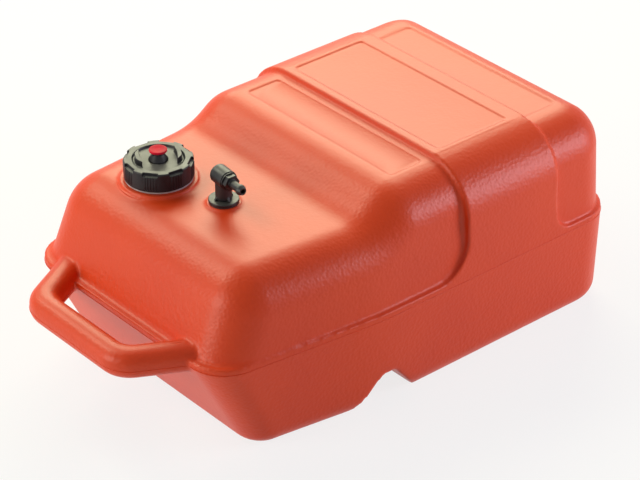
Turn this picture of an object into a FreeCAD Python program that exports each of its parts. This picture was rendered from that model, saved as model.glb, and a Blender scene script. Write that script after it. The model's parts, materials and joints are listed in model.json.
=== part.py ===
import FreeCAD, Part
import math
import os
import Sketcher

# Portable outboard fuel tank: a blow-moulded shell with a carrying handle, a vented filler cap
# and a swivelling fuel pickup. Millimetres, +Z up, the origin under the middle of the base.
# The handle is at -X, the filler neck on the +Y side of the front platform.

V = FreeCAD.Vector
doc = FreeCAD.newDocument("outboard_fuel_tank")
sheet = doc.addObject("Spreadsheet::Sheet", "Dim")
rows = []


class Size:
    # A length or angle with its value and the sheet expression that gives it.
    def __init__(self, value, text):
        self.value = float(value)
        self.text = text

    def join(self, sign, other, value):
        other_text = other.text if isinstance(other, Size) else repr(float(other))
        return Size(value, "(" + self.text + " " + sign + " " + other_text + ")")

    def __add__(self, other):
        return self.join("+", other, self.value + float(other))

    def __sub__(self, other):
        return self.join("-", other, self.value - float(other))

    def __mul__(self, other):
        return self.join("*", other, self.value * float(other))

    def __truediv__(self, other):
        return self.join("/", other, self.value / float(other))

    def __neg__(self):
        return Size(-self.value, "(0 - " + self.text + ")")

    def __float__(self):
        return self.value


def size(alias, value, note):
    cell = "B" + str(len(rows) + 1)
    rows.append(alias)
    sheet.set("A" + str(len(rows)), note)
    sheet.set(cell, str(value))
    sheet.setAlias(cell, alias)
    return Size(value, "Dim." + alias)


def number(value):
    return Size(value, repr(float(value)))


# Tank body
half_length = size("half_length", 290, "half the overall length over the handle")
half_width = size("half_width", 172, "half the width at the seam")
crown_height = size("crown_height", 224.5, "height of the raised band")
seam_height = size("seam_height", 104, "height of the mould's parting line")
belt_rise = size("belt_rise", 6.5, "top of the belt above the seam")
wall = size("wall", 4, "wall of the shell")
handle_reach = size("handle_reach", 62, "handle ahead of the front face at the seam")
base_setback = size("base_setback", 52, "front edge of the base behind the front face")
front_narrowing = size("front_narrowing", 22.5, "front corners inside the widest sides")
taper_start = size("taper_start", 39, "where the sides begin to taper, forward of the middle")
side_draft = size("side_draft", 4, "how far the upper sides lean in, from seam to top")
base_draft = size("base_draft", 2.5, "how far the lower sides lean in, from seam to base")
rear_draft = size("rear_draft", 3, "how far the rear face leans in")
front_corner = size("front_corner", 41, "front corners in plan")
base_corner = size("base_corner", 32, "front corners of the base in plan")
rear_corner = size("rear_corner", 46, "rear corners in plan")
taper_bend = size("taper_bend", 400, "bend where the sides begin to taper")
base_edge = size("base_edge", 20, "rounding round the base")
crown_edge = size("crown_edge", 58, "long upper edges of the band")
inset = size("inset", 5, "how far the front and rear zones lie inside the band")
deck_step = size("deck_step", 5.7, "deck before the band, below its top")
platform_drop = size("platform_drop", 32.5, "cap and pickup platform below the band's top")
shoulder_setback = size("shoulder_setback", 40, "front edge of the platform behind the front face")
platform_length = size("platform_length", 157, "platform from its front edge to the slope behind it")
slope_length = size("slope_length", 33, "slope between platform and deck")
deck_length = size("deck_length", 75, "deck between slope and band")
shoulder_round = size("shoulder_round", 50, "rounding of the platform's front edge")
slope_blend = size("slope_blend", 45, "hollow between the platform and the slope")
deck_round = size("deck_round", 50, "rounding at the top of the slope")
upper_edge = size("upper_edge", 46, "long upper edges of the front zone")
front_lean = size("front_lean", 12, "extra lean of the front zone's sides")
tail_length = size("tail_length", 90, "rear zone behind the band")
band_front_corner = size("band_front_corner", 40, "hollow corner where the band meets the belt")
band_rear_corner = size("band_rear_corner", 22, "rear hollow corner of the band")
tail_step = size("tail_step", 6.2, "rear zone below the band's top")
tail_edge = size("tail_edge", 44, "upper side edges of the rear zone")
tail_rear_edge = size("tail_rear_edge", 33, "upper rear edge of the rear zone")
panel_inset = size("panel_inset", 60.5, "panel edge from the widest sides")
panel_depth = size("panel_depth", 1, "depth of the shallow panels")
panel_margin = size("panel_margin", 11, "panel edge from the front of its zone")
band_panel_margin = size("band_panel_margin", 19, "band's panel from the rear of the band")
deck_panel_length = size("deck_panel_length", 41, "length of the panel on the deck")
tail_panel_length = size("tail_panel_length", 43, "length of the panel on the rear zone")

# Handle and strap channel
handle_height = size("handle_height", 30, "height of the handle's bar")
handle_drop = size("handle_drop", 2.5, "middle of the handle above the seam")
bar_depth = size("bar_depth", 29, "front to back thickness of the handle's bar")
arm_inset = size("arm_inset", 67, "grip opening at the tank, inside the front corners")
grip_taper = size("grip_taper", 26, "grip opening narrower at the bar than at the tank")
arm_root = size("arm_root", 37.5, "thickness of the arms where they meet the tank")
arm_corner = size("arm_corner", 18, "thickness of the arms across the handle's corners")
handle_round = size("handle_round", 13, "rounding of the handle's bar")
handle_corner = size("handle_corner", 36, "outer corners of the handle in plan")
grip_corner = size("grip_corner", 14, "inner corners of the handle in plan")
channel_depth = size("channel_depth", 38, "depth of the strap channel under the base")
channel_front = size("channel_front", 72, "front lip of the strap channel, forward of the middle")
channel_width = size("channel_width", 86, "width of the strap channel at the base")
channel_floor = size("channel_floor", 15, "width of the strap channel at its top")
channel_slope = size("channel_slope", 32, "rear wall of the strap channel, along the tank")
channel_round = size("channel_round", 7, "rounding in the strap channel")

# Filler neck and cap
neck_setback = size("neck_setback", 102.9, "filler neck behind the front face at the seam")
neck_margin = size("neck_margin", 105.6, "filler neck from the widest side")
collar_radius = size("collar_radius", 39.5, "moulded collar round the neck")
collar_rise = size("collar_rise", 3, "collar above the platform")
neck_radius = size("neck_radius", 29, "outside of the neck")
neck_bore = size("neck_bore", 24, "bore radius of the neck")
seal_gap = size("seal_gap", 0.35, "cap seal above the collar")
seal_thickness = size("seal_thickness", 1.8, "thickness of the cap's lower seal")
seal_radius = size("seal_radius", 34.6, "outside of the cap's lower seal")
cap_radius = size("cap_radius", 35.2, "outside of the cap")
cap_height = size("cap_height", 20, "skirt and rim of the cap")
cap_wall = size("cap_wall", 3.2, "skirt and top wall of the cap")
cap_dish_radius = size("cap_dish_radius", 26.5, "recessed disc in the cap's top")
cap_dish_depth = size("cap_dish_depth", 2.2, "depth of the recessed disc")
cap_notch_depth = size("cap_notch_depth", 3.4, "drop of the stepped grips at the rim")
cap_notch_width = size("cap_notch_width", 15.5, "width of the stepped grips")
cap_notch_inset = size("cap_notch_inset", 3.6, "stepped grips, inward from the rim")
cap_notches = 8
grip_phase = size("grip_phase", 22.5, "finger grips from the nearest stepped grip")
cap_rest = size("cap_rest", 51.5, "turn of the closed cap, clockwise from above")
groove_width = size("groove_width", 1.2, "upright grooves in the skirt")
groove_depth = size("groove_depth", 0.9, "depth of the upright grooves")
grip_radius = size("grip_radius", 17.5, "finger grips from the cap's axis")
grip_wall = size("grip_wall", 3.6, "thickness of the finger grips")
grip_rise = size("grip_rise", 6.6, "finger grips above the dish")
grip_span = size("grip_span", 27, "length of the finger grips")
run_gap = size("run_gap", 0.4, "clearance between pieces that turn on each other")
liner_thickness = size("liner_thickness", 2.4, "thickness of the cap's liner")

# Vent in the cap
turret_base_radius = size("turret_base_radius", 10, "foot of the vent turret")
turret_top_radius = size("turret_top_radius", 6, "top of the vent turret")
turret_rise = size("turret_rise", 8, "vent turret above the dish")
knob_radius = size("knob_radius", 9.2, "red vent knob")
knob_thickness = size("knob_thickness", 3.6, "thickness of the vent knob")
knob_dish = size("knob_dish", 0.8, "hollow in the vent knob")
stem_radius = size("stem_radius", 2.5, "vent stem")
guide_clear = size("guide_clear", 0.08, "clearance of the vent stem in its guide")
ring_clear = size("ring_clear", 0.05, "clearance of the vent ring and clip on the stem")
vent_bore_gap = size("vent_bore_gap", 2.2, "air gap round the vent stem")
ring_wire = size("ring_wire", 1.6, "thickness of the vent's seal ring")
clip_thickness = size("clip_thickness", 1, "thickness of the retaining clip")
vent_travel = size("vent_travel", 3, "rise of the vent knob when open")

# Fuel pickup
pickup_setback = size("pickup_setback", 20.1, "pickup behind the filler neck")
pickup_spacing = size("pickup_spacing", 78, "pickup from the filler neck, across the tank")
boss_radius = size("boss_radius", 17.4, "moulded boss under the pickup")
boss_rise = size("boss_rise", 2, "boss above the platform")
boss_bore = size("boss_bore", 9.6, "bore radius of the boss")
gasket_thickness = size("gasket_thickness", 1.2, "thickness of the pickup gasket")
flange_radius = size("flange_radius", 15.4, "flange of the pickup")
flange_thickness = size("flange_thickness", 3, "thickness of the flange")
spigot_radius = size("spigot_radius", 9.5, "threaded spigot in the boss")
spigot_length = size("spigot_length", 16, "spigot below the flange")
post_radius = size("post_radius", 5.4, "post that the elbow turns on")
post_length = size("post_length", 12, "post above the flange")
swivel_gap = size("swivel_gap", 0.06, "running clearance of the elbow on its post")
elbow_lift = size("elbow_lift", 0.35, "elbow above the flange")
swivel_wire = size("swivel_wire", 1.2, "thickness of the swivel's seal ring")
stem_outer = size("stem_outer", 8.3, "outside of the elbow's stem")
gusset_reach = size("gusset_reach", 10.8, "gussets at the foot of the stem")
gusset_rise = size("gusset_rise", 5, "height of the gussets")
gusset_thickness = size("gusset_thickness", 2.2, "thickness of the gussets")
barrel_radius = size("barrel_radius", 9.8, "elbow's barrel")
barrel_back = size("barrel_back", 10.2, "barrel behind the stem's axis")
barrel_front = size("barrel_front", 9.5, "barrel ahead of the stem's axis")
barrel_bore = size("barrel_bore", 5.6, "bore of the barrel")
plug_radius = size("plug_radius", 7.4, "plug in the back of the barrel")
plug_thickness = size("plug_thickness", 3, "thickness of the plug")
plug_recess = size("plug_recess", 0.6, "plug below the barrel's end")
barrel_height = size("barrel_height", 24, "barrel's axis above the flange")
swivel_rest = size("swivel_rest", 6, "turn of the elbow at rest, from square")
tail_collar_radius = size("tail_collar_radius", 8.6, "flats of the tail's collar")
tail_collar_length = size("tail_collar_length", 5, "length of the tail's collar")
tail_stem_radius = size("tail_stem_radius", 4.3, "hose tail's stem")
tail_stem_length = size("tail_stem_length", 13, "length of the tail's stem")
barb_radius = size("barb_radius", 5.4, "barb of the hose tail")
barb_length = size("barb_length", 6, "length of the barb")
barb_land = size("barb_land", 2.4, "straight part of the barb, that grips the hose")
barb_edge = size("barb_edge", 0.2, "rounding of the barb's back edge")
tip_radius = size("tip_radius", 3.9, "tip of the hose tail")
tail_bore = size("tail_bore", 2.4, "bore radius of the hose tail")
clip_space = size("clip_space", 2, "space for the clip between barrel and collar")
insert_length = size("insert_length", 7, "tail inside the barrel")
ball_radius = size("ball_radius", 2.6, "non-return ball")
ball_gap = size("ball_gap", 0.5, "clearance round the ball")
seat_bore = size("seat_bore", 1.8, "bore of the ball's seat")
ball_rest = size("ball_rest", 2.3, "middle of the resting ball above its seat")
tube_radius = size("tube_radius", 4.5, "dip tube")
tube_bore = size("tube_bore", 3.2, "bore radius of the dip tube")
strainer_radius = size("strainer_radius", 8.5, "strainer at the foot of the dip tube")
strainer_length = size("strainer_length", 26, "length of the strainer")
strainer_clear = size("strainer_clear", 6, "strainer above the tank's floor")
strainer_wall = size("strainer_wall", 1.4, "wall of the strainer")
slot_width = size("slot_width", 4, "slots in the strainer")
foot_thickness = size("foot_thickness", 2, "foot plate of the strainer")
doc.recompute()

front_reach = half_length - handle_reach
base_front_reach = front_reach - base_setback
front_half_width = half_width - front_narrowing
platform_front = front_reach - shoulder_setback
platform_height = crown_height - platform_drop
deck_height = crown_height - deck_step
tail_height = crown_height - tail_step
platform_rear = platform_length - platform_front
deck_front = platform_rear + slope_length
band_front = deck_front + deck_length
band_rear = half_length - tail_length
panel_half_width = half_width - panel_inset
grip_root_half_width = front_half_width - arm_inset
grip_half_width = grip_root_half_width - grip_taper
neck_forward = front_reach - neck_setback
neck_side = half_width - neck_margin
pickup_forward = neck_forward - pickup_setback
pickup_side = neck_side - pickup_spacing

PLANES = {
    "XY": FreeCAD.Rotation(),
    "XZ": FreeCAD.Rotation(V(1, 0, 0), 90),
    "YZ": FreeCAD.Rotation(V(1, 1, 1), 120),
}


def bind(item, prop, amount):
    item.setExpression(prop, amount.text)


def new_sketch(name, plane, offset, body):
    if body is None:
        sketch = doc.addObject("Sketcher::SketchObject", name)
        normal = PLANES[plane].multVec(V(0, 0, 1))
        sketch.Placement = FreeCAD.Placement(normal * float(offset), PLANES[plane])
        axis = "xyz"[[abs(round(normal.x)), abs(round(normal.y)), abs(round(normal.z))].index(1)]
        sign = normal.x + normal.y + normal.z
        bind(sketch, ".Placement.Base." + axis, offset * round(sign))
        return sketch
    sketch = body.newObject("Sketcher::SketchObject", name)
    role = plane + "_Plane"
    origin_plane = [item for item in body.Origin.OriginFeatures if item.Role == role][0]
    sketch.AttachmentSupport = [(origin_plane, "")]
    sketch.MapMode = "FlatFace"
    bind(sketch, ".AttachmentOffset.Base.z", offset)
    return sketch


def pin(sketch, kind, first, second, amount):
    index = sketch.addConstraint(Sketcher.Constraint(kind, *first, *second, float(amount)))
    sketch.setExpression("Constraints[" + str(index) + "]", amount.text)


def corner_points(before, corner, after, radius):
    # Where an arc of this radius touches the two sides that meet in a corner, and its centre.
    to_before = (before - corner).normalize()
    to_after = (after - corner).normalize()
    half_angle = to_before.getAngle(to_after) / 2
    reach = radius / math.tan(half_angle)
    middle = (to_before + to_after).normalize() * (radius / math.sin(half_angle))
    return corner + to_before * reach, corner + to_after * reach, corner + middle


def outline(name, plane, corners, offset=number(0), body=None):
    # A closed profile of straight sides, each corner (across, up, radius) sharp or rounded.
    sketch = new_sketch(name, plane, offset, body)
    count = len(corners)
    corners = [[part if isinstance(part, Size) else number(part) for part in corner] for corner in corners]
    places = [V(float(across), float(up), 0) for across, up, radius in corners]
    for index in range(count):
        sketch.addGeometry(Part.LineSegment(places[index], places[(index + 1) % count]), True)
    for index in range(count):
        following = (index + 1) % count
        sketch.addConstraint(Sketcher.Constraint("Coincident", index, 2, following, 1))
        pin(sketch, "DistanceX", (-1, 1), (index, 1), corners[index][0])
        pin(sketch, "DistanceY", (-1, 1), (index, 1), corners[index][1])
    starts = list(places)
    ends = list(places)
    centres = {}
    for index, (across, up, radius) in enumerate(corners):
        if float(radius) > 0:
            before = places[index - 1]
            after = places[(index + 1) % count]
            ends[index], starts[index], centres[index] = corner_points(
                before, places[index], after, float(radius))
    for index in range(count):
        following = (index + 1) % count
        side = count + index
        sketch.addGeometry(Part.LineSegment(starts[index], ends[following]), False)
        for position, vertex in ((1, index), (2, following)):
            if vertex in centres:
                sketch.addConstraint(Sketcher.Constraint("PointOnObject", side, position, index))
            else:
                sketch.addConstraint(Sketcher.Constraint("Coincident", side, position, vertex, 1))
    for index, centre in centres.items():
        before = count + (index - 1) % count
        after = count + index
        turn = (ends[index] - centre).cross(starts[index] - centre).z
        first, last = (ends[index], starts[index]) if turn > 0 else (starts[index], ends[index])
        radius = float(corners[index][2])
        circle = Part.Circle(centre, V(0, 0, 1), radius)
        arc = Part.ArcOfCircle(circle, circle.parameter(first), circle.parameter(last))
        number_of_arc = sketch.addGeometry(arc, False)
        at_before, at_after = (1, 2) if turn > 0 else (2, 1)
        sketch.addConstraint(Sketcher.Constraint("Tangent", before, 2, number_of_arc, at_before))
        sketch.addConstraint(Sketcher.Constraint("Tangent", after, 1, number_of_arc, at_after))
        radius_index = sketch.addConstraint(Sketcher.Constraint("Radius", number_of_arc, radius))
        sketch.setExpression("Constraints[" + str(radius_index) + "]", corners[index][2].text)
    return sketch


def feature(kind, name, **links):
    item = doc.addObject(kind, name)
    for prop, value in links.items():
        if isinstance(value, Size):
            bind(item, prop, value)
        else:
            setattr(item, prop, value)
    return item


def extrude(name, sketch, length, both_ways=False):
    return feature("Part::Extrusion", name, Base=sketch, DirMode="Normal", LengthFwd=length,
                   Solid=True, Symmetric=both_ways)


def loft(name, sketches):
    return feature("Part::Loft", name, Sections=sketches, Solid=True, Ruled=True)


def fuse(name, shapes):
    return feature("Part::MultiFuse", name, Shapes=shapes, Refine=True)


def common(name, shapes):
    return feature("Part::MultiCommon", name, Shapes=shapes)


def cut(name, base, tool):
    return feature("Part::Cut", name, Base=base, Tool=tool)


def place(item, across, along, up):
    bind(item, ".Placement.Base.x", across)
    bind(item, ".Placement.Base.y", along)
    bind(item, ".Placement.Base.z", up)
    return item


def turn_about_z(item, prop, angle):
    placement = FreeCAD.Placement(getattr(item, prop))
    placement.Rotation = FreeCAD.Rotation(V(0, 0, 1), float(angle))
    setattr(item, prop, placement)
    bind(item, "." + prop + ".Rotation.Angle", angle)


def cylinder(name, radius, height, across=number(0), along=number(0), up=number(0)):
    item = feature("Part::Cylinder", name, Radius=radius, Height=height)
    return place(item, across, along, up)


def box(name, length, width, height, across, along, up):
    item = feature("Part::Box", name, Length=length, Width=width, Height=height)
    return place(item, across, along, up)


def round_edges(name, base, radius, chosen, radius_at=None):
    # Rounds the edges of a shape for which chosen(middle, direction) is true, by one radius or by
    # the radius that radius_at(point) gives at each end of an edge.
    doc.recompute()
    picked = []
    for index, edge in enumerate(base.Shape.Edges):
        span = (edge.FirstParameter + edge.LastParameter) / 2
        if chosen(edge.valueAt(span), edge.tangentAt(span)):
            ends = [float(radius), float(radius)]
            if radius_at:
                ends = [radius_at(edge.valueAt(edge.FirstParameter)), radius_at(edge.valueAt(edge.LastParameter))]
            picked.append((index + 1, *ends))
    if not picked:
        raise RuntimeError(name + " found no edge to round")
    item = doc.addObject("Part::Fillet", name)
    item.Base = base
    item.Edges = picked
    doc.recompute()
    return item


def turned(name, corners, across, along):
    # A turned piece: a profile of radius and height, revolved about its own upright axis.
    body = doc.addObject("PartDesign::Body", name)
    sketch = outline(name + "_profile", "XZ", corners, body=body)
    revolution = body.newObject("PartDesign::Revolution", name + "_turn")
    revolution.Profile = sketch
    revolution.ReferenceAxis = (sketch, ["V_Axis"])
    revolution.Angle = 360
    body.Tip = revolution
    bind(body, ".Placement.Base.x", across)
    bind(body, ".Placement.Base.y", along)
    return body


parts = {}


def finish(item, name):
    item.Label = name
    parts[name] = item
    return item


def plan(name, height, lean, front, rear, less, corner=front_corner):
    # The plan outline at a height, its sides leaning in by lean and its corners less by the inset.
    side = half_width - lean
    front_side = front_half_width - lean
    corners = [
        (rear, side, rear_corner - less),
        (-taper_start, side, taper_bend),
        (-front, front_side, corner - less),
        (-front, -front_side, corner - less),
        (-taper_start, -side, taper_bend),
        (rear, -side, rear_corner - less),
    ]
    return outline(name, "XY", corners, height)


def lower_half(tag, skin):
    # Below the seam: the front slopes back under the handle, all walls draw in to the base.
    seam_plan = plan(tag + "_seam_plan", seam_height, skin, front_reach - skin, half_length - skin, skin)
    base_plan = plan(tag + "_base_plan", skin, skin + base_draft, base_front_reach - skin,
                     half_length - rear_draft - skin, skin, base_corner)
    sides = loft(tag + "_lower_sides", [base_plan, seam_plan])
    floor = float(skin)
    return round_edges(tag + "_lower_half", sides, base_edge - skin,
                       lambda middle, direction: abs(middle.z - floor) < 0.01)


def belt_and_band(tag, skin):
    # The belt above the seam and the raised band that wraps over the tank.
    belt_top = seam_height + belt_rise - skin
    band_top = crown_height - skin
    foot = plan(tag + "_band_foot", seam_height, skin, front_reach - skin, half_length - skin, skin)
    head = plan(tag + "_band_head", crown_height, skin + side_draft, front_reach - skin,
                half_length - rear_draft - skin, skin)
    envelope = loft(tag + "_band_envelope", [foot, head])
    corners = [
        (-half_length, seam_height, 0),
        (half_length, seam_height, 0),
        (half_length, belt_top, 0),
        (band_rear - skin, belt_top, band_rear_corner + skin),
        (band_rear - skin, band_top, 0),
        (band_front + skin, band_top, 0),
        (band_front + skin, belt_top, band_front_corner + skin),
        (-half_length, belt_top, 0),
    ]
    side_view = outline(tag + "_band_side_view", "XZ", corners)
    slab = extrude(tag + "_band_slab", side_view, half_width * 4, True)
    band = common(tag + "_band_block", [envelope, slab])
    top = float(band_top)
    return round_edges(tag + "_band", band, crown_edge - skin,
                       lambda middle, direction: abs(middle.z - top) < 0.01 and abs(direction.x) > 0.9)


def front_zone(tag, skin):
    # The platform for the cap and pickup, the slope behind it and the deck, inside the belt.
    lean = inset + skin
    foot = plan(tag + "_front_foot", seam_height, lean, half_length, half_length, lean)
    head = plan(tag + "_front_head", crown_height, lean + front_lean, half_length, half_length, lean)
    envelope = loft(tag + "_front_envelope", [foot, head])
    front_top = platform_height - skin
    back_top = deck_height - skin
    overlap = (band_front + band_rear) / 2
    corners = [
        (overlap, seam_height, 0),
        (overlap, back_top, 0),
        (deck_front + skin, back_top, deck_round - skin),
        (platform_rear + skin, front_top, slope_blend + skin),
        (-platform_front + skin, front_top, shoulder_round - skin),
        (-front_reach + inset + skin, seam_height, 0),
    ]
    side_view = outline(tag + "_front_side_view", "XZ", corners)
    slab = extrude(tag + "_front_slab", side_view, half_width * 4, True)
    block = common(tag + "_front_block", [envelope, slab])
    foot_level = float(seam_height) + 1
    back = float(overlap) - 1
    return round_edges(tag + "_front_zone", block, upper_edge - skin,
                       lambda middle, direction: middle.z > foot_level and middle.x < back
                       and abs(direction.z) < 0.94 and abs(direction.y) < 0.5)


def rear_zone(tag, skin):
    # The zone behind the band, inside the belt on three sides.
    lean = inset + skin
    start = (band_front + band_rear) / 2
    foot_plan = [
        (half_length - lean, half_width - lean, rear_corner - lean),
        (start, half_width - lean, 0),
        (start, lean - half_width, 0),
        (half_length - lean, lean - half_width, rear_corner - lean),
    ]
    lean_top = lean + side_draft
    back_top = half_length - lean - rear_draft
    head_plan = [
        (back_top, half_width - lean_top, rear_corner - lean),
        (start, half_width - lean_top, 0),
        (start, lean_top - half_width, 0),
        (back_top, lean_top - half_width, rear_corner - lean),
    ]
    top = tail_height - skin
    foot = outline(tag + "_rear_foot", "XY", foot_plan, seam_height)
    head = outline(tag + "_rear_head", "XY", head_plan, top)
    block = loft(tag + "_rear_block", [foot, head])
    level = float(top)
    front = float(start) + 1
    rear_line = float(back_top) - 1

    def radius_at(point):
        return float(tail_rear_edge - skin if point.x > rear_line else tail_edge - skin)

    return round_edges(tag + "_rear_zone", block, tail_edge,
                       lambda middle, direction: abs(middle.z - level) < 0.01 and middle.x > front,
                       radius_at)


def tank_form(tag, skin):
    # The whole moulded form, drawn in by skin: the outside with 0, the inside with the wall.
    lower = lower_half(tag, skin)
    band = belt_and_band(tag, skin)
    front = front_zone(tag, skin)
    rear = rear_zone(tag, skin)
    return fuse(tag + "_form", [lower, band, front, rear])


def handle_block():
    # The carrying handle: a bar held off the front by two arms, all round-edged.
    middle = seam_height + handle_drop
    under = middle - handle_height / 2
    bar_inner = half_length - bar_depth
    root = front_reach - inset * 4
    outer = [
        (-root, grip_root_half_width + arm_root, 0),
        (-half_length, grip_half_width + arm_corner, handle_corner),
        (-half_length, -grip_half_width - arm_corner, handle_corner),
        (-root, -grip_root_half_width - arm_root, 0),
    ]
    inner = [
        (-root + inset, grip_root_half_width + inset, 0),
        (-bar_inner, grip_half_width, grip_corner),
        (-bar_inner, -grip_half_width, grip_corner),
        (-root + inset, -grip_root_half_width - inset, 0),
    ]
    bar = extrude("handle_bar_block", outline("handle_plan", "XY", outer, under), handle_height)
    gap = extrude("handle_gap_block", outline("grip_plan", "XY", inner, under), handle_height)
    ring = cut("handle_ring", bar, gap)
    low = float(under)
    high = float(under + handle_height)
    back = -float(root) - 1
    return round_edges("handle", ring, handle_round,
                       lambda at, direction: min(abs(at.z - low), abs(at.z - high)) < 0.01 and at.x < back)


def strap_channel(name, skin):
    # The channel across the base for a hold-down strap, widened by skin on the inside.
    front_slope = channel_width - channel_floor - channel_slope
    front = -channel_front - skin
    back = channel_width - channel_front + skin
    corners = [
        (front - front_slope, -channel_depth, 0),
        (front - front_slope, 0, 0),
        (front, 0, channel_round),
        (front + front_slope, channel_depth + skin, channel_round),
        (back - channel_slope, channel_depth + skin, channel_round),
        (back, 0, channel_round),
        (back + channel_slope, 0, 0),
        (back + channel_slope, -channel_depth, 0),
    ]
    side_view = outline(name + "_side_view", "XZ", corners)
    return extrude(name, side_view, half_width * 4, True)


def panel(name, front, back, top):
    # A shallow rectangular recess in a top surface.
    return box(name, back - front, panel_half_width * 2, panel_depth * 2,
               front, -panel_half_width, top - panel_depth)


outside = tank_form("outside", number(0))
inside = tank_form("inside", wall)
cavity = cut("cavity", inside, strap_channel("inner_channel", wall))

collar_top = platform_height + collar_rise
seal_level = collar_top + seal_gap
skirt_level = seal_level + seal_thickness
rim_level = skirt_level + cap_height
dish_level = rim_level - cap_dish_depth
ceiling = dish_level - cap_wall
liner_under = ceiling - run_gap - liner_thickness
liner_top = ceiling - run_gap
neck_top = liner_under - seal_gap
boss_top = platform_height + boss_rise
neck_block = turned("neck_block", [
    (0, platform_height - wall * 2, 0),
    (collar_radius + 1, platform_height - wall * 2, 0),
    (collar_radius + 1, platform_height, 0),
    (collar_radius - 1, collar_top, 1.5),
    (neck_radius, collar_top, 0),
    (neck_radius, neck_top, 0),
    (0, neck_top, 0),
], -neck_forward, neck_side)
boss_block = turned("boss_block", [
    (0, platform_height - spigot_length, 0),
    (boss_bore + wall, platform_height - spigot_length, 0),
    (boss_bore + wall, platform_height - wall, 0),
    (boss_radius, platform_height - wall, 0),
    (boss_radius, boss_top, 0),
    (0, boss_top, 0),
], -pickup_forward, pickup_side)
moulding = fuse("moulding", [outside, handle_block()])
hollow = cut("hollow", moulding, cavity)
walls = fuse("walls", [hollow, neck_block, boss_block])
neck_hole = cylinder("neck_hole", neck_bore, wall * 20, -neck_forward, neck_side,
                     platform_height - wall * 4)
boss_hole = cylinder("boss_hole", boss_bore, wall * 20, -pickup_forward, pickup_side,
                     platform_height - wall * 10)
deck_panel_back = band_front - panel_margin
openings = fuse("openings", [
    neck_hole,
    boss_hole,
    strap_channel("outer_channel", number(0)),
    panel("deck_panel", deck_panel_back - deck_panel_length, deck_panel_back, deck_height),
    panel("band_panel", band_front + panel_margin, band_rear - band_panel_margin, crown_height),
    panel("tail_panel", band_rear + panel_margin / 2, band_rear + panel_margin / 2 + tail_panel_length,
          tail_height),
])
tank_shell = finish(cut("tank_cut", walls, openings), "tank_shell")

# Filler cap: a hollow screw cap with stepped grips round the rim, a recessed disc in the top and
# two upright finger grips.
liner_radius = cap_radius - cap_wall - run_gap
at_neck = (-neck_forward, neck_side)

cap_seal = turned("cap_seal", [
    (neck_radius + run_gap, seal_level, 0),
    (seal_radius, seal_level, 0),
    (seal_radius, skirt_level - run_gap, 0),
    (neck_radius + run_gap, skirt_level - run_gap, 0),
], *at_neck)
finish(cap_seal, "cap_seal")

vent_hole = stem_radius + run_gap
cap_liner = turned("cap_liner", [
    (vent_hole, liner_under, 0),
    (liner_radius, liner_under, 0),
    (liner_radius, liner_top, 0),
    (vent_hole, liner_top, 0),
], *at_neck)
finish(cap_liner, "cap_liner")

cap = turned("filler_cap", [
    (turret_base_radius - cap_wall, ceiling, 0),
    (cap_radius - cap_wall, ceiling, 0),
    (cap_radius - cap_wall, skirt_level, 0),
    (cap_radius, skirt_level, 0),
    (cap_radius, rim_level, 1.4),
    (cap_dish_radius, rim_level, 0),
    (cap_dish_radius - cap_dish_depth / 2, dish_level, 0),
    (turret_base_radius - cap_wall, dish_level, 0),
], *at_neck)


def cap_pocket(name, corners, depth, level, count):
    # Cuts the same recess round the cap, down from a level.
    sketch = outline(name + "_plan", "XY", corners, level, cap)
    pocket = cap.newObject("PartDesign::Pocket", name)
    pocket.Profile = sketch
    bind(pocket, "Length", depth)
    pattern = cap.newObject("PartDesign::PolarPattern", name + "_ring")
    pattern.Originals = [pocket]
    pattern.Axis = (sketch, ["N_Axis"])
    pattern.Angle = 360
    pattern.Occurrences = count
    cap.Tip = pattern
    return pattern


cap_pocket("rim_notch", [
    (-cap_notch_width / 2, cap_radius - cap_notch_inset, 0),
    (cap_notch_width / 2, cap_radius - cap_notch_inset, 0),
    (cap_notch_width / 2, cap_radius + cap_wall, 0),
    (-cap_notch_width / 2, cap_radius + cap_wall, 0),
], cap_notch_depth, rim_level, cap_notches)
for groove, shift in (("groove_a", -cap_notch_width / 2), ("groove_b", cap_notch_width / 2)):
    cap_pocket("skirt_" + groove, [
        (shift - groove_width / 2, cap_radius - groove_depth, 0),
        (shift + groove_width / 2, cap_radius - groove_depth, 0),
        (shift + groove_width / 2, cap_radius + cap_wall, 0),
        (shift - groove_width / 2, cap_radius + cap_wall, 0),
    ], cap_height - cap_wall, rim_level, cap_notches)
half_span = grip_span / 2
for side, label in ((1, "right_grip"), (-1, "left_grip")):
    grip_plan = [
        (grip_radius * side, -half_span, 0),
        ((grip_radius + grip_wall * 1.6) * side, -half_span + grip_wall * 2, grip_wall * 3),
        ((grip_radius + grip_wall * 1.6) * side, half_span - grip_wall * 2, grip_wall * 3),
        (grip_radius * side, half_span, 0),
        ((grip_radius + grip_wall * 0.4) * side, 0, half_span * 2),
    ]
    if side < 0:
        grip_plan.reverse()
    grip_sketch = outline(label + "_plan", "XY", grip_plan, dish_level - cap_wall / 2, cap)
    turn_about_z(grip_sketch, "AttachmentOffset", grip_phase)
    grip = cap.newObject("PartDesign::Pad", label)
    grip.Profile = grip_sketch
    bind(grip, "Length", grip_rise + cap_wall / 2)
    cap.Tip = grip
turn_about_z(cap, "Placement", number(360) - cap_rest)
finish(cap, "filler_cap")

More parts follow.
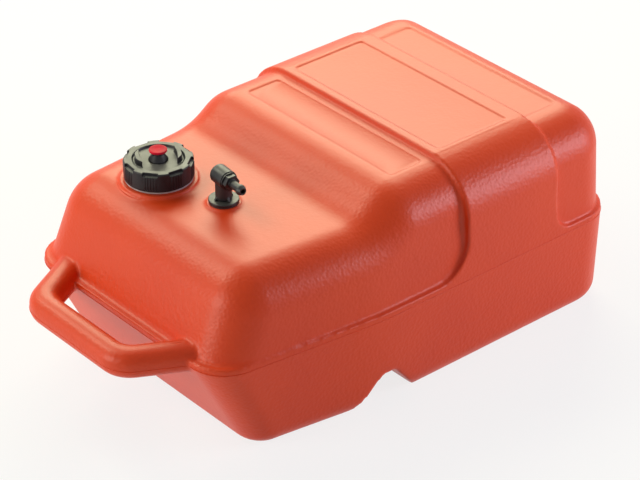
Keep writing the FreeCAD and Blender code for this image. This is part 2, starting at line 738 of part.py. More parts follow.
# Vent: a turret on the cap carries the red knob, whose threaded stem opens a seat as it rises.
turret_top = dish_level + turret_rise
knob_under = turret_top + run_gap
stem_foot = liner_under - run_gap
vent_bore = stem_radius + vent_bore_gap
guide_radius = stem_radius + guide_clear
turret = turned("vent_turret", [
    (vent_bore, ceiling, 0),
    (turret_base_radius - cap_wall, ceiling, 0),
    (turret_base_radius - cap_wall, dish_level, 0),
    (turret_base_radius, dish_level, 0),
    (turret_base_radius, dish_level + cap_wall / 3, 0),
    (turret_top_radius, turret_top - cap_wall / 2, 2),
    (turret_top_radius, turret_top, 0),
    (guide_radius, turret_top, 0),
    (guide_radius, turret_top - cap_wall, 0),
    (vent_bore, turret_top - cap_wall, 0),
], *at_neck)
finish(turret, "vent_turret")

knob = turned("vent_knob", [
    (stem_radius, knob_under, 0),
    (turret_top_radius - 1.5, knob_under, 0),
    (knob_radius, knob_under + knob_thickness * 0.45, 0),
    (knob_radius, knob_under + knob_thickness, 0.9),
    (knob_radius * 0.8, knob_under + knob_thickness, 0),
    (knob_radius * 0.3, knob_under + knob_thickness - knob_dish, 0),
    (0, knob_under + knob_thickness - knob_dish, 0),
    (0, knob_under + knob_thickness * 0.4, 0),
    (stem_radius, knob_under + knob_thickness * 0.4, 0),
], *at_neck)
finish(knob, "vent_knob")

stem_top = knob_under + knob_thickness * 0.4
clip_top = turret_top - cap_wall - vent_travel - run_gap
stem = turned("vent_stem", [
    (0, stem_foot, 0),
    (stem_radius * 0.7, stem_foot, 0),
    (stem_radius, stem_foot + 1, 0),
    (stem_radius, stem_top, 0),
    (0, stem_top, 0),
], *at_neck)
finish(stem, "vent_stem")


def seal_ring(name, inner, wire, level, across, along):
    # A small seal lying flat, its middle at a level.
    ring = turned(name, [
        (inner, level - wire / 2, 0),
        (inner + wire, level - wire / 2, 0),
        (inner + wire, level + wire / 2, 0),
        (inner, level + wire / 2, 0),
    ], across, along)
    return finish(ring, name)


seal_ring("vent_seal", stem_radius + ring_clear, ring_wire - ring_clear,
          liner_top + seal_gap + ring_wire / 2, *at_neck)
vent_clip = turned("vent_clip", [
    (stem_radius + ring_clear, clip_top - clip_thickness, 0),
    (vent_bore - run_gap, clip_top - clip_thickness, 0),
    (vent_bore - run_gap, clip_top, 0),
    (stem_radius + ring_clear, clip_top, 0),
], *at_neck)
finish(vent_clip, "vent_clip")

# Fuel pickup: a flange screwed into the boss, a post that the elbow swivels on, and inside it a
# ball that lets fuel rise but not run back.
at_pickup = (-pickup_forward, pickup_side)
gasket_top = boss_top + gasket_thickness
flange_top = gasket_top + flange_thickness
post_top = flange_top + post_length
spigot_foot = gasket_top - spigot_length
seat_level = gasket_top + seat_bore
chamber = ball_radius + ball_gap
gasket = turned("pickup_gasket", [
    (spigot_radius + run_gap / 4, boss_top, 0),
    (flange_radius - run_gap, boss_top, 0),
    (flange_radius - run_gap, gasket_top, 0),
    (spigot_radius + run_gap / 4, gasket_top, 0),
], *at_pickup)
finish(gasket, "pickup_gasket")

flange = turned("pickup_flange", [
    (tube_radius, spigot_foot, 0),
    (spigot_radius, spigot_foot, 0),
    (spigot_radius, gasket_top, 0),
    (flange_radius, gasket_top, 0),
    (flange_radius, flange_top, 0.8),
    (post_radius, flange_top, 0),
    (post_radius, post_top, 0),
    (chamber, post_top, 0),
    (chamber, seat_level, 0),
    (seat_bore, seat_level, 0),
    (seat_bore, gasket_top - flange_thickness, 0),
    (tube_radius, gasket_top - flange_thickness, 0),
], *at_pickup)
finish(flange, "pickup_flange")

ball_level = seat_level + ball_rest
ball = feature("Part::Sphere", "check_ball", Radius=ball_radius)
finish(place(ball, *at_pickup, ball_level), "check_ball")

# Elbow: an upright stem with gussets, and a level barrel that the hose tail plugs into.
elbow_foot = flange_top + elbow_lift
barrel_level = flange_top + barrel_height
ring_space = post_radius + elbow_lift + swivel_wire
stem_block = turned("elbow_stem", [
    (0, elbow_foot, 0),
    (stem_outer, elbow_foot, 0),
    (stem_outer, barrel_level, 0),
    (0, barrel_level, 0),
], number(0), number(0))
stem_cavity = turned("elbow_bore", [
    (0, elbow_foot, 0),
    (ring_space, elbow_foot, 0),
    (ring_space, elbow_foot + swivel_wire, 0),
    (post_radius + swivel_gap, elbow_foot + swivel_wire, 0),
    (post_radius + swivel_gap, post_top + run_gap, 0),
    (chamber, post_top + run_gap, 0),
    (chamber, barrel_level, 0),
    (0, barrel_level, 0),
], number(0), number(0))


def turned_level(name, corners):
    # A turned piece whose axis lies level along Y, through the barrel's axis at the stem.
    body = doc.addObject("PartDesign::Body", name)
    sketch = outline(name + "_profile", "YZ", corners, body=body)
    revolution = body.newObject("PartDesign::Revolution", name + "_turn")
    revolution.Profile = sketch
    revolution.ReferenceAxis = (sketch, ["H_Axis"])
    revolution.Angle = 360
    body.Tip = revolution
    return body


barrel_block = turned_level("barrel_block", [
    (barrel_back, 0, 0),
    (barrel_back, barrel_radius, 2),
    (-barrel_front, barrel_radius, 0),
    (-barrel_front, 0, 0),
])
bind(barrel_block, ".Placement.Base.z", barrel_level)
barrel_cavity = turned_level("barrel_cavity", [
    (barrel_back, 0, 0),
    (barrel_back, plug_radius, 0),
    (barrel_back - plug_thickness, plug_radius, 0),
    (barrel_back - plug_thickness, barrel_bore, 0),
    (-barrel_front, barrel_bore, 0),
    (-barrel_front, 0, 0),
])
bind(barrel_cavity, ".Placement.Base.z", barrel_level)
gusset_height = elbow_foot + gusset_rise
gussets = []
for label, plane in (("gusset_across", "XZ"), ("gusset_along", "YZ")):
    corners = [
        (-gusset_reach, elbow_foot, 0),
        (gusset_reach, elbow_foot, 0),
        (stem_outer * 0.9, gusset_height, 0),
        (-stem_outer * 0.9, gusset_height, 0),
    ]
    gussets.append(extrude(label, outline(label + "_view", plane, corners), gusset_thickness, True))
elbow_solid = fuse("elbow_solid", [stem_block, barrel_block] + gussets)
elbow_bores = fuse("elbow_bores", [stem_cavity, barrel_cavity])


def swing(item, level=number(0)):
    # Puts a piece of the elbow on the pickup's axis, turned to its rest direction.
    turn_about_z(item, "Placement", number(360) - swivel_rest)
    return place(item, *at_pickup, level)


finish(swing(cut("elbow", elbow_solid, elbow_bores)), "elbow")
seal_ring("swivel_seal", post_radius + elbow_lift, swivel_wire,
          elbow_foot + swivel_wire / 2, *at_pickup)

barrel_plug = turned_level("barrel_plug", [
    (barrel_back - plug_thickness, 0, 0),
    (barrel_back - plug_thickness, plug_radius, 0),
    (barrel_back - plug_recess, plug_radius, 0),
    (barrel_back - plug_recess, 0, 0),
])
finish(swing(barrel_plug, barrel_level), "barrel_plug")

# Hose tail: a plain end in the barrel, a six-sided collar, a stem, a barb and a tip, bored through.
collar_start = -barrel_front - clip_space
collar_end = collar_start - tail_collar_length
stem_end = collar_end - tail_stem_length
barb_end = stem_end - barb_length
seal_back = -barrel_front + insert_length / 2 + swivel_wire
seal_front = seal_back - swivel_wire * 1.25
tail_turned = turned_level("tail_turned", [
    (-barrel_front + insert_length, tail_bore, 0),
    (-barrel_front + insert_length, barrel_bore, 0),
    (seal_back, barrel_bore, 0),
    (seal_back, barrel_bore - swivel_wire, 0),
    (seal_front, barrel_bore - swivel_wire, 0),
    (seal_front, barrel_bore, 0),
    (collar_start, barrel_bore, 0),
    (collar_start, tail_stem_radius, 0),
    (stem_end, tail_stem_radius, 0),
    (stem_end, barb_radius, barb_edge),
    (stem_end - barb_land, barb_radius, 0),
    (barb_end, tip_radius, 0),
    (barb_end, tail_bore, 0),
])
hexagon = []
for corner in range(6):
    turn = math.radians(60 * corner)
    hexagon.append((tail_collar_radius * math.cos(turn), tail_collar_radius * math.sin(turn), 0))
collar_sketch = outline("tail_collar_view", "XZ", hexagon, -collar_start)
tail_collar = extrude("tail_collar", collar_sketch, tail_collar_length)
tail_hole = feature("Part::Cylinder", "tail_hole", Radius=tail_bore, Height=tail_stem_length * 4)
tail_hole.Placement = FreeCAD.Placement(V(0, 0, 0), FreeCAD.Rotation(V(1, 0, 0), 90))
hose_tail = cut("hose_tail", fuse("tail_solid", [tail_turned, tail_collar]), tail_hole)
finish(swing(hose_tail, barrel_level), "hose_tail")

tail_seal = turned_level("tail_seal", [
    (seal_back, barrel_bore - swivel_wire, 0),
    (seal_back, barrel_bore, 0),
    (seal_front, barrel_bore, 0),
    (seal_front, barrel_bore - swivel_wire, 0),
])
finish(swing(tail_seal, barrel_level), "tail_seal")

tail_clip = turned_level("tail_clip", [
    (-barrel_front - run_gap / 2, barrel_bore, 0),
    (-barrel_front - run_gap / 2, barrel_radius - run_gap * 2, 0),
    (collar_start + run_gap / 2, barrel_radius - run_gap * 2, 0),
    (collar_start + run_gap / 2, barrel_bore, 0),
])
finish(swing(tail_clip, barrel_level), "tail_clip")

# Dip tube and strainer, down to the floor of the tank.
strainer_foot_level = wall + strainer_clear
strainer_top = strainer_foot_level + foot_thickness + strainer_length
tube_top = gasket_top - flange_thickness
tube_foot = strainer_top - strainer_length / 3
dip_tube = turned("dip_tube", [
    (tube_bore, tube_foot, 0),
    (tube_radius, tube_foot, 0),
    (tube_radius, tube_top, 0),
    (tube_bore, tube_top, 0),
], *at_pickup)
finish(dip_tube, "dip_tube")

cage_foot = strainer_foot_level + foot_thickness
cage = turned("strainer_cage", [
    (strainer_radius - strainer_wall, cage_foot, 0),
    (strainer_radius, cage_foot, 0),
    (strainer_radius, strainer_top, 0),
    (tube_radius, strainer_top, 0),
    (tube_radius, strainer_top - strainer_wall * 2, 0),
    (strainer_radius - strainer_wall, strainer_top - strainer_wall * 2, 0),
], *at_pickup)
slot_length = strainer_length - strainer_wall * 5
slots = []
for label, across, along in (("slot_across", strainer_radius * 4, slot_width),
                             ("slot_along", slot_width, strainer_radius * 4)):
    slots.append(box(label, across, along, slot_length, -pickup_forward - across / 2,
                     pickup_side - along / 2, cage_foot + strainer_wall))
strainer = cut("strainer", cage, fuse("strainer_slots", slots))
finish(strainer, "pickup_strainer")
foot = turned("strainer_foot", [
    (0, strainer_foot_level, 0),
    (strainer_radius, strainer_foot_level, 0),
    (strainer_radius, cage_foot, 0),
    (0, cage_foot, 0),
], *at_pickup)
finish(foot, "strainer_foot")

doc.recompute()
for item in doc.Objects:
    if "Invalid" in item.State or "Error" in item.State:
        raise RuntimeError(item.Name + " failed: " + str(item.State))
os.makedirs("parts", exist_ok=True)
for name, item in parts.items():
    shape = item.Shape
    if shape.isNull() or not shape.isValid() or not shape.Solids:
        raise RuntimeError(name + " has no sound solid")
    shape.exportStep("parts/" + name + ".step")
    print(name, len(shape.Solids), round(shape.Volume, 1))
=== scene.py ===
import bpy
import bmesh
import json
import math
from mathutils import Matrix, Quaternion, Vector


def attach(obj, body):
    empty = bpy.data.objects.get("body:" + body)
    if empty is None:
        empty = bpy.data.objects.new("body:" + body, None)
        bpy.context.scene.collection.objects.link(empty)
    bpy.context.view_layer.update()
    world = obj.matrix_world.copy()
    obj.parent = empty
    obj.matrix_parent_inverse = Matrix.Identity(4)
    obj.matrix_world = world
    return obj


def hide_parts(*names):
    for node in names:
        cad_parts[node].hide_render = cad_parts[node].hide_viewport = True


mm = 0.001
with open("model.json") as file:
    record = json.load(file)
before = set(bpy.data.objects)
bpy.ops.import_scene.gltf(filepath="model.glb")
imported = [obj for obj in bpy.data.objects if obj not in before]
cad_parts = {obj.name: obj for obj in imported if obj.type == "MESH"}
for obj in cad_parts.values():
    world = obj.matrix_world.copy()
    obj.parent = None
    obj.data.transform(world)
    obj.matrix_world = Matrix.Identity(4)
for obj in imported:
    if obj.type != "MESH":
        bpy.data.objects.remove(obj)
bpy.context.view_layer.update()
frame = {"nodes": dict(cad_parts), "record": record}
nodes = frame["nodes"]
print("frame: {} nodes".format(len(nodes)))


# materials

def newMaterial(name, colour, roughness, **sockets):
    # a Principled material with its constants set on the sockets themselves
    material = bpy.data.materials.new(name)
    material.use_nodes = True
    material.diffuse_color = (*colour, 1)
    shader = material.node_tree.nodes["Principled BSDF"]
    shader.inputs["Base Color"].default_value = (*colour, 1)
    shader.inputs["Roughness"].default_value = roughness
    for socket, value in sockets.items():
        shader.inputs[socket.replace("_", " ")].default_value = value
    return material


def addNode(owner, kind, **values):
    # a new node, with its settings or the values of its sockets
    node = owner.node_tree.nodes.new(kind)
    for name, value in values.items():
        if hasattr(node, name):
            setattr(node, name, value)
        else:
            node.inputs[name.replace("_", " ")].default_value = value
    return node


def link(owner, source, socket, target, targetSocket):
    owner.node_tree.links.new(source.outputs[socket], target.inputs[targetSocket])


def ramp(material, source, socket, low, high, fromLow, fromHigh):
    # maps a grey value between two limits, kept inside them
    node = addNode(material, "ShaderNodeMapRange")
    node.inputs["From Min"].default_value = fromLow
    node.inputs["From Max"].default_value = fromHigh
    node.inputs["To Min"].default_value = low
    node.inputs["To Max"].default_value = high
    link(material, source, socket, node, "Value")
    return node


cloudLimits = (0.35, 0.65)     # noise values between which the colour changes


def mottle(material, colour, other, scale):
    # slow change of colour over the surface; gives back its place and cloud nodes
    where = addNode(material, "ShaderNodeTexCoord")
    cloud = addNode(material, "ShaderNodeTexNoise", Scale=scale, Detail=3)
    link(material, where, "Object", cloud, "Vector")
    mix = addNode(material, "ShaderNodeMix", data_type="RGBA")
    mix.inputs["A"].default_value = (*colour, 1)
    mix.inputs["B"].default_value = (*other, 1)
    share = ramp(material, cloud, "Fac", 0, 1, *cloudLimits)
    link(material, share, "Result", mix, "Factor")
    shader = material.node_tree.nodes["Principled BSDF"]
    link(material, mix, "Result", shader, "Base Color")
    return where, cloud


def addBump(material, height, socket, strength, distance, after=None):
    bump = addNode(material, "ShaderNodeBump", Strength=strength, Distance=distance)
    link(material, height, socket, bump, "Height")
    if after:
        link(material, after, "Normal", bump, "Normal")
    shader = material.node_tree.nodes["Principled BSDF"]
    link(material, bump, "Normal", shader, "Normal")
    return bump


def levelShare(material, low, high, fromLow, fromHigh):
    # a value that depends on how level the surface lies
    shape = addNode(material, "ShaderNodeNewGeometry")
    split = addNode(material, "ShaderNodeSeparateXYZ")
    link(material, shape, "Normal", split, "Vector")
    return ramp(material, split, "Z", low, high, fromLow, fromHigh)


tankPlasticLook = {
    "red": (0.77, 0.058, 0.004),
    "deepRed": (0.72, 0.048, 0.004),
    "mottleScale": 6,
    "roughness": 0.41,
    "gloss": 0.45,
    "grainScale": 300,
    "grainSmoothness": 0.6,
    "grainDepth": 0.00026,     # metres
    "grainOnLevel": 0.25,      # share of the grain that level faces keep
    "levelLimits": (0.9, 0.995),
    "rippleScale": 110,
    "rippleStrength": 0.5,
    "rippleDepth": 0.00028,
}


def mouldedTankPlastic():
    # polyethylene with the leather grain that the mould gives, flatter on level faces
    look = tankPlasticLook
    material = newMaterial("mouldedTankPlastic", look["red"], look["roughness"],
                           Specular_IOR_Level=look["gloss"])
    where = mottle(material, look["red"], look["deepRed"], look["mottleScale"])[0]
    grain = addNode(material, "ShaderNodeTexVoronoi", feature="SMOOTH_F1", Scale=look["grainScale"])
    grain.inputs["Smoothness"].default_value = look["grainSmoothness"]
    link(material, where, "Object", grain, "Vector")
    ripple = addNode(material, "ShaderNodeTexNoise", Scale=look["rippleScale"], Detail=3)
    link(material, where, "Object", ripple, "Vector")
    level = levelShare(material, 1, look["grainOnLevel"], *look["levelLimits"])
    masked = addNode(material, "ShaderNodeMath", operation="MULTIPLY")
    link(material, grain, "Distance", masked, 0)
    link(material, level, "Result", masked, 1)
    coarse = addBump(material, ripple, "Fac", look["rippleStrength"], look["rippleDepth"])
    addBump(material, masked, "Value", 1, look["grainDepth"], coarse)
    return material


# small moulded and rubber pieces; some looks end with a paler grey that is painted on their level
# tops as painted sheen, the reflection of the light above
smallPieceLook = {
    "capBlack": {"colour": (0.010, 0.009, 0.012), "roughness": 0.40, "grain": 0.00006,
                 "gloss": 0.32, "paintedSheen": (0.15, 0.15, 0.14)},
    "fittingBlack": {"colour": (0.014, 0.013, 0.015), "roughness": 0.36, "grain": 0.00003,
                     "gloss": 0.4, "paintedSheen": (0.05, 0.05, 0.048)},
    "sealBlack": {"colour": (0.03, 0.028, 0.03), "roughness": 0.6, "grain": 0.00003,
                  "gloss": 0.4},
    "sealGrey": {"colour": (0.40, 0.36, 0.38), "roughness": 0.6, "grain": 0.00003,
                 "gloss": 0.4},
    "knobRed": {"colour": (0.50, 0.002, 0.022), "roughness": 0.5, "grain": 0.00002,
                "gloss": 0.12},
    "tubeWhite": {"colour": (0.6, 0.6, 0.56), "roughness": 0.45, "grain": 0.00002,
                  "gloss": 0.5},
}
smallPieceTexture = {
    "mottleScale": 90,
    "paler": 1.5,              # how much paler the clouds are
    "lift": 0.004,
    "grainScale": 1500,
    "smoother": 0.06,          # roughness below and above the look's own
    "rougher": 0.08,
    "roughLimits": (0.3, 0.7),
}


def smallPiecePlastic(name):
    # moulded plastic or rubber: a little cloudy, with a fine matt grain
    look = smallPieceLook[name]
    texture = smallPieceTexture
    colour = look["colour"]
    roughness = look["roughness"]
    pale = tuple(part * texture["paler"] + texture["lift"] for part in colour)
    material = newMaterial(name, colour, roughness, Specular_IOR_Level=look["gloss"])
    where, cloud = mottle(material, colour, pale, texture["mottleScale"])
    fine = addNode(material, "ShaderNodeTexNoise", Scale=texture["grainScale"], Detail=2)
    link(material, where, "Object", fine, "Vector")
    addBump(material, fine, "Fac", 1, look["grain"])
    shader = material.node_tree.nodes["Principled BSDF"]
    rough = ramp(material, cloud, "Fac", roughness - texture["smoother"],
                 roughness + texture["rougher"], *texture["roughLimits"])
    link(material, rough, "Result", shader, "Roughness")
    # level tops of these looks get a paler grey: painted sheen
    if "paintedSheen" in look:
        paintedSheenTops(material, look["paintedSheen"])
    return material


paintedSheenLimits = (0.80, 0.97)      # upward part of the normal between which tops are painted paler, as painted sheen


def paintedSheenTops(material, sheenColour):
    # level tops painted a paler grey: a painted sheen of the light from above
    shader = material.node_tree.nodes["Principled BSDF"]
    plain = shader.inputs["Base Color"].links[0].from_socket
    level = levelShare(material, 0, 1, *paintedSheenLimits)
    mix = addNode(material, "ShaderNodeMix", data_type="RGBA")
    mix.inputs["B"].default_value = (*sheenColour, 1)
    material.node_tree.links.new(plain, mix.inputs["A"])
    link(material, level, "Result", mix, "Factor")
    link(material, mix, "Result", shader, "Base Color")


def springSteel():
    look = {"colour": (0.6, 0.6, 0.6), "dull": (0.5, 0.5, 0.51), "roughness": 0.3,
            "mottleScale": 300, "grain": 0.00002, "strength": 0.4}
    material = newMaterial("clipSteel", look["colour"], look["roughness"], Metallic=1.0)
    cloud = mottle(material, look["colour"], look["dull"], look["mottleScale"])[1]
    addBump(material, cloud, "Fac", look["strength"], look["grain"])
    return material


finishes = {
    "tank_plastic": mouldedTankPlastic(),
    "cap_plastic": smallPiecePlastic("capBlack"),
    "fitting_plastic": smallPiecePlastic("fittingBlack"),
    "seal_rubber": smallPiecePlastic("sealBlack"),
    "knob_plastic": smallPiecePlastic("knobRed"),
    "tube_plastic": smallPiecePlastic("tubeWhite"),
    "clip_steel": springSteel(),
}
for part in frame["record"]["subparts"]:
    slots = nodes[part["node"]].data.materials
    slots.clear()
    slots.append(finishes[part["material_slot"]])
nodes["cap_seal"].data.materials[0] = smallPiecePlastic("sealGrey")
print("finishes: {}".format(len(finishes)))


# mesh helpers

def newObject(name, mesh, body, slot):
    # a piece of the scene that rides on a body and has the finish of its slot
    piece = bpy.data.objects.new(name, mesh)
    bpy.context.scene.collection.objects.link(piece)
    mesh.materials.clear()
    mesh.materials.append(finishes[slot])
    mesh.shade_smooth()
    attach(piece, body)
    return piece


def settled(piece):
    # the piece's mesh with its modifiers applied
    bpy.context.view_layer.update()
    shown = piece.evaluated_get(bpy.context.evaluated_depsgraph_get())
    mesh = bpy.data.meshes.new_from_object(shown)
    mesh.name = piece.name
    return mesh


weldDistance = 0.01 * mm
softenFactor = 0.5             # how far each smoothing pass moves a point


def softened(name, look):
    # the CAD piece with its edges rounded over, as they come out of a mould
    shape = bpy.data.objects.new("shape", nodes[look["node"]].data.copy())
    bpy.context.scene.collection.objects.link(shape)
    weld = shape.modifiers.new("weld", "WELD")
    weld.merge_threshold = weldDistance
    remesh = shape.modifiers.new("remesh", "REMESH")
    remesh.mode = "VOXEL"
    remesh.voxel_size = look["voxel"]
    soften = shape.modifiers.new("soften", "SMOOTH")
    soften.factor = softenFactor
    soften.iterations = look["rounds"]
    piece = newObject(name, settled(shape), look["body"], look["slot"])
    bpy.data.objects.remove(shape)
    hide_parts(look["node"])
    return piece


def thinned(piece, share):
    # fewer faces where the surface is plain
    thin = piece.modifiers.new("thin", "DECIMATE")
    thin.ratio = share
    mesh = settled(piece)
    piece.modifiers.clear()
    old = piece.data
    piece.data = mesh
    bpy.data.meshes.remove(old)
    mesh.shade_smooth()
    print("{}: {} faces".format(piece.name, len(mesh.polygons)))


def onCircle(centre, radius, angle, height):
    return (centre[0] + radius * math.cos(angle), centre[1] + radius * math.sin(angle), height)


def joinRows(shape, low, high):
    # a band of faces between two closed rows of points
    for step in range(len(low)):
        following = (step + 1) % len(low)
        shape.faces.new((low[step], low[following], high[following], high[step]))


def closedMesh(name, shape):
    bmesh.ops.recalc_face_normals(shape, faces=shape.faces)
    mesh = bpy.data.meshes.new(name)
    shape.to_mesh(mesh)
    shape.free()
    return mesh


# tank shell, softened, with the edges of its sunk panels kept crisp

tankLook = {
    "node": "tank_shell",
    "body": "tank",
    "slot": "tank_plastic",
    "voxel": 0.0019,           # metres
    "rounds": 5,               # smoothing passes, more makes softer corners
    "keep": 0.32,              # share of the faces that is kept
}
panelLook = {
    "depth": 0.001,
    "halfWidth": 0.1115,
    "corner": 0.0045,
    "edge": 0.0019,            # width of the step round a panel
    "margin": 0.006,           # how far round a panel the face is made level
    "span": 0.003,             # points further above or below the face stay
    "levelFrom": 0.7,          # upward part of the normal from which a face counts as level
    "panels": (                # front end, rear end and height of the face round each panel
        (0.0250, 0.0660, 0.2188),
        (0.0880, 0.1810, 0.2245),
        (0.2055, 0.2485, 0.2183),
    ),
}


def panelShare(x, y, low, high):
    # 1 inside a panel's rounded outline, 0 outside it
    corner = panelLook["corner"]
    alongX = abs(x - (low + high) / 2) - (high - low) / 2 + corner
    alongY = abs(y) - panelLook["halfWidth"] + corner
    outside = math.hypot(max(alongX, 0), max(alongY, 0)) + min(max(alongX, alongY), 0) - corner
    share = min(max(0.5 - outside / panelLook["edge"], 0), 1)
    return share * share * (3 - 2 * share)


def sharpenPanels(mesh):
    depth = panelLook["depth"]
    margin = panelLook["margin"]
    span = panelLook["span"]
    widest = panelLook["halfWidth"] + margin
    upward = [normal.vector.z for normal in mesh.vertex_normals]
    places = [0.0] * (3 * len(mesh.vertices))
    mesh.vertices.foreach_get("co", places)
    for index, rise in enumerate(upward):
        if rise > panelLook["levelFrom"]:
            x, y, z = places[3 * index:3 * index + 3]
            for low, high, top in panelLook["panels"]:
                near = abs(z - top) < span and abs(y) < widest
                if near and low - margin < x < high + margin:
                    places[3 * index + 2] = top - depth * panelShare(x, y, low, high)
    mesh.vertices.foreach_set("co", places)
    mesh.update()


tankSkin = softened("tankSkin", tankLook)
sharpenPanels(tankSkin.data)
thinned(tankSkin, tankLook["keep"])


# parting line: the fine bead that the halves of the mould leave round the shell

seamLook = {
    "height": 0.104,
    "beadRadius": 0.00042,
    "beadRounding": 2,
    "gripReach": -0.2,         # the loop round the grip opening lies wholly ahead of this
    "leastPoints": 8,          # shorter loops are scraps of the cut
}


def cutLoops(mesh, height):
    # closed loops of points where a level plane cuts the mesh
    shape = bmesh.new()
    shape.from_mesh(mesh)
    bmesh.ops.remove_doubles(shape, verts=shape.verts, dist=weldDistance)
    everything = shape.verts[:] + shape.edges[:] + shape.faces[:]
    cut = bmesh.ops.bisect_plane(shape, geom=everything, plane_co=(0, 0, height),
                                 plane_no=(0, 0, 1))
    edges = {item for item in cut["geom_cut"] if isinstance(item, bmesh.types.BMEdge)}
    loops = []
    while edges:
        edge = edges.pop()
        first, point = edge.verts
        loop = [first.co.copy()]
        while point != first:
            loop.append(point.co.copy())
            onward = [near for near in point.link_edges if near in edges]
            if not onward:
                break
            edges.discard(onward[0])
            point = onward[0].other_vert(point)
        loops.append(loop)
    shape.free()
    return loops


def widthOf(loop):
    return max(point.y for point in loop) - min(point.y for point in loop)


def partingLine():
    loops = cutLoops(nodes["tank_shell"].data, seamLook["height"])
    outer = max(loops, key=widthOf)
    grip = [loop for loop in loops if max(point.x for point in loop) < seamLook["gripReach"]]
    curve = bpy.data.curves.new("partingLine", "CURVE")
    curve.dimensions = "3D"
    curve.bevel_depth = seamLook["beadRadius"]
    curve.bevel_resolution = seamLook["beadRounding"]
    for loop in [outer] + grip:
        if len(loop) > seamLook["leastPoints"]:
            line = curve.splines.new("POLY")
            line.points.add(len(loop) - 1)
            for place, point in zip(line.points, loop):
                place.co = (*point, 1)
            line.use_cyclic_u = True
    bead = bpy.data.objects.new("bead", curve)
    bpy.context.scene.collection.objects.link(bead)
    newObject("partingLine", settled(bead), "tank", "tank_plastic")
    bpy.data.objects.remove(bead)
    print("parting line: {} loops".format(len(curve.splines)))


partingLine()


# crisp moulded rings on the shell, round the filler neck and under the pickup

neckCentre = (-0.1251, 0.0664)
pickupCentre = (-0.105, -0.0116)
ringLook = {
    "steps": 144,
    "neckCollar": {            # radius and height of each corner, in millimetres
        "centre": neckCentre,
        "outline": [(29.1, 191.0), (29.1, 195.1), (37.8, 195.1), (38.7, 194.95),
                    (39.4, 194.5), (39.85, 193.8), (40.1, 193.1), (40.7, 192.5),
                    (41.6, 192.1), (42.4, 191.6), (42.0, 191.0)],
    },
    "pickupBoss": {
        "centre": pickupCentre,
        "outline": [(9.7, 191.0), (9.7, 194.05), (16.3, 194.05), (16.9, 193.9),
                    (17.3, 193.5), (17.55, 192.9), (18.1, 192.4), (18.9, 192.05),
                    (19.4, 191.6), (19.0, 191.0)],
    },
}


def turnedRing(name):
    # a ring turned round an upright axis
    steps = ringLook["steps"]
    shape = bmesh.new()
    rows = []
    for radius, height in ringLook[name]["outline"]:
        row = []
        for step in range(steps):
            angle = math.tau * step / steps
            place = onCircle(ringLook[name]["centre"], radius * mm, angle, height * mm)
            row.append(shape.verts.new(place))
        rows.append(row)
    for low, high in zip(rows, rows[1:] + rows[:1]):
        joinRows(shape, low, high)
    newObject(name, closedMesh(name, shape), "tank", "tank_plastic")


turnedRing("neckCollar")
turnedRing("pickupBoss")
print("moulded rings ready")


# black fittings, with their moulded edges rounded over

fittingLook = {
    "capShell": {"node": "filler_cap", "body": "cap", "slot": "cap_plastic",
                 "voxel": 0.00045, "rounds": 2, "keep": 0.4},
    "ventDome": {"node": "vent_turret", "body": "cap", "slot": "cap_plastic",
                 "voxel": 0.00028, "rounds": 2, "keep": 0.5},
    "ventButton": {"node": "vent_knob", "body": "vent", "slot": "knob_plastic",
                   "voxel": 0.0003, "rounds": 4, "keep": 0.6},
    "pickupPlate": {"node": "pickup_flange", "body": "tank", "slot": "fitting_plastic",
                    "voxel": 0.0004, "rounds": 2, "keep": 0.5},
    "elbowBody": {"node": "elbow", "body": "elbow", "slot": "fitting_plastic",
                  "voxel": 0.0003, "rounds": 4, "keep": 0.5},
    "hoseBarb": {"node": "hose_tail", "body": "elbow", "slot": "fitting_plastic",
                 "voxel": 0.00028, "rounds": 2, "keep": 0.5},
}
for name, look in fittingLook.items():
    thinned(softened(name, look), look["keep"])


# upright ribs in the cap's eight finger notches

ribLook = {
    "firstNotch": 38.5,        # degrees
    "notches": 8,
    "ribs": 5,
    "spacing": 4.4,            # degrees
    "radius": 0.0352,
    "proud": 0.0005,
    "halfWidth": 0.0008,
    "foot": 0.1992,
    "top": 0.2139,
    "slope": 0.0008,
    "topShare": 0.2,           # how proud a rib still stands at its top
    "section": ((-1, -1), (-0.75, 0.5), (-0.35, 1), (0.35, 1), (0.75, 0.5), (1, -1)),
}


def ribRow(shape, angle, height, share):
    # the rib's section at one height, standing out by its share
    row = []
    for side, out in ribLook["section"]:
        reach = ribLook["radius"] + ribLook["proud"] * (out * share if out > 0 else out)
        turn = angle + side * ribLook["halfWidth"] / ribLook["radius"]
        row.append(shape.verts.new(onCircle(neckCentre, reach, turn, height)))
    return row


def notchRibs():
    look = ribLook
    shape = bmesh.new()
    heights = ((look["foot"], 0), (look["foot"] + look["slope"], 1),
               (look["top"] - look["slope"], 1), (look["top"], look["topShare"]))
    for notch in range(look["notches"]):
        for rib in range(look["ribs"]):
            shift = (rib - (look["ribs"] - 1) / 2) * look["spacing"]
            angle = math.radians(look["firstNotch"] + notch * 360 / look["notches"] + shift)
            rows = [ribRow(shape, angle, height, share) for height, share in heights]
            for low, high in zip(rows, rows[1:]):
                joinRows(shape, low, high)
            shape.faces.new(list(reversed(rows[0])))
            shape.faces.new(rows[-1])
    newObject("capRibs", closedMesh("capRibs", shape), "cap", "cap_plastic")


notchRibs()
print("cap ribs ready")


# floor, world, lamps and camera

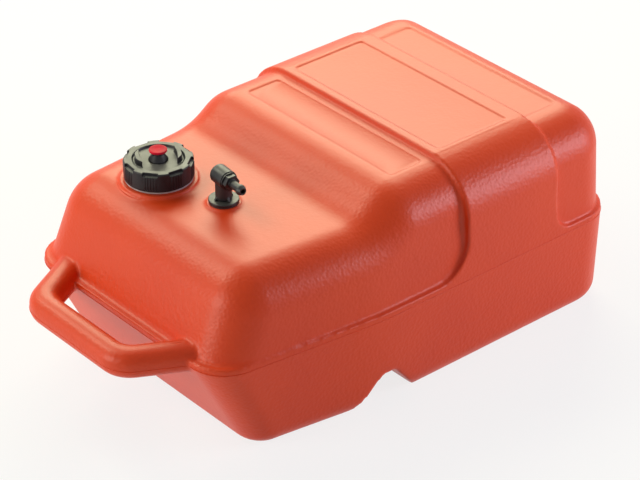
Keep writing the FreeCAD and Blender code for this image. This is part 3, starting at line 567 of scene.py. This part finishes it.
studio = {
    "floorSize": 14,
    "floorDrop": 0.0004,
    "floorColour": (0.93, 0.93, 0.93, 1),
    "whiteShare": 0.8,         # share of the floor seen as plain white, the rest shows the shadow
    "ambient": 0.13,
}
lamps = {
    "softboxBehind": {"place": (1.04, 1.23, 1.20), "target": (0, 0, 0.19), "size": (1.35, 0.95),
                      "power": 27, "colour": (1, 1, 0.68)},
    "softboxAbove": {"place": (-0.57, 1.24, 1.53), "target": (-0.05, 0, 0.19), "size": (1.0, 0.8),
                     "power": 16, "colour": (1, 1, 0.74)},
    "softboxLeft": {"place": (-1.93, 0.52, 0.68), "target": (-0.1, 0, 0.1), "size": (1.1, 1.1),
                    "power": 18, "colour": (1, 0.96, 0.82)},
    "softboxRight": {"place": (1.05, -1.1, 0.55), "target": (0.15, -0.1, 0.1), "size": (0.8, 0.6),
                     "power": 12, "colour": (0.93, 0.88, 1)},
}


def seenDirectly(owner):
    # 1 for what the camera sees, itself or in gloss or glass
    light = addNode(owner, "ShaderNodeLightPath")
    first = addNode(owner, "ShaderNodeMath", operation="MAXIMUM")
    second = addNode(owner, "ShaderNodeMath", operation="MAXIMUM")
    link(owner, light, "Is Camera Ray", first, 0)
    link(owner, light, "Is Glossy Ray", first, 1)
    link(owner, first, "Value", second, 0)
    link(owner, light, "Is Transmission Ray", second, 1)
    return second


def mixOfShaders(owner, factor, lit, white, outputKind):
    # the lit shader, with plain white in its place by the factor
    mix = addNode(owner, "ShaderNodeMixShader")
    output = addNode(owner, outputKind)
    link(owner, factor, "Value", mix, "Fac")
    link(owner, lit, 0, mix, 1)
    link(owner, white, 0, mix, 2)
    link(owner, mix, 0, output, "Surface")


def studioFloor():
    mesh = bpy.data.meshes.new("studioFloor")
    half = studio["floorSize"] / 2
    corners = [(-half, -half, 0), (half, -half, 0), (half, half, 0), (-half, half, 0)]
    mesh.from_pydata(corners, [], [(0, 1, 2, 3)])
    floor = bpy.data.objects.new("studioFloor", mesh)
    bpy.context.scene.collection.objects.link(floor)
    floor.location.z = -studio["floorDrop"]
    material = bpy.data.materials.new("floorPaper")
    material.use_nodes = True
    material.node_tree.nodes.clear()
    paper = addNode(material, "ShaderNodeBsdfDiffuse", Color=studio["floorColour"])
    white = addNode(material, "ShaderNodeEmission", Strength=1)
    share = addNode(material, "ShaderNodeMath", operation="MULTIPLY")
    share.inputs[1].default_value = studio["whiteShare"]
    link(material, seenDirectly(material), "Value", share, 0)
    mixOfShaders(material, share, paper, white, "ShaderNodeOutputMaterial")
    mesh.materials.append(material)


def studioWorld():
    world = bpy.data.worlds.new("studioWorld")
    bpy.context.scene.world = world
    world.use_nodes = True
    world.node_tree.nodes.clear()
    dim = addNode(world, "ShaderNodeBackground", Strength=studio["ambient"])
    white = addNode(world, "ShaderNodeBackground", Strength=1)
    mixOfShaders(world, seenDirectly(world), dim, white, "ShaderNodeOutputWorld")


def softLamp(name):
    look = lamps[name]
    lamp = bpy.data.lights.new(name, "AREA")
    lamp.shape = "RECTANGLE"
    lamp.size, lamp.size_y = look["size"]
    lamp.energy = look["power"]
    lamp.color = look["colour"]
    holder = bpy.data.objects.new(name, lamp)
    bpy.context.scene.collection.objects.link(holder)
    holder.location = look["place"]
    aim = Vector(look["target"]) - Vector(look["place"])
    holder.rotation_euler = aim.to_track_quat("-Z", "Y").to_euler()


studioFloor()
studioWorld()
for name in lamps:
    softLamp(name)

photoCamera = {
    "place": (-1.4919, -1.7956, 1.5537),
    "view": (0.54857, 0.64805, -0.52830),
    "roll": -0.237,            # degrees
    "lens": 151.25,
    "sensor": 36,
    "farEnd": 50,
}
camera = bpy.data.cameras.new("photoCamera")
camera.lens = photoCamera["lens"]
camera.sensor_width = photoCamera["sensor"]
camera.clip_end = photoCamera["farEnd"]
cameraHolder = bpy.data.objects.new("photoCamera", camera)
bpy.context.scene.collection.objects.link(cameraHolder)
cameraHolder.location = photoCamera["place"]
cameraAim = Vector(photoCamera["view"]).to_track_quat("-Z", "Y")
cameraRoll = Quaternion((0, 0, 1), math.radians(photoCamera["roll"]))
cameraHolder.rotation_euler = (cameraAim @ cameraRoll).to_euler()
bpy.context.scene.camera = cameraHolder
bpy.context.scene.view_settings.view_transform = "Standard"
print("studio ready")
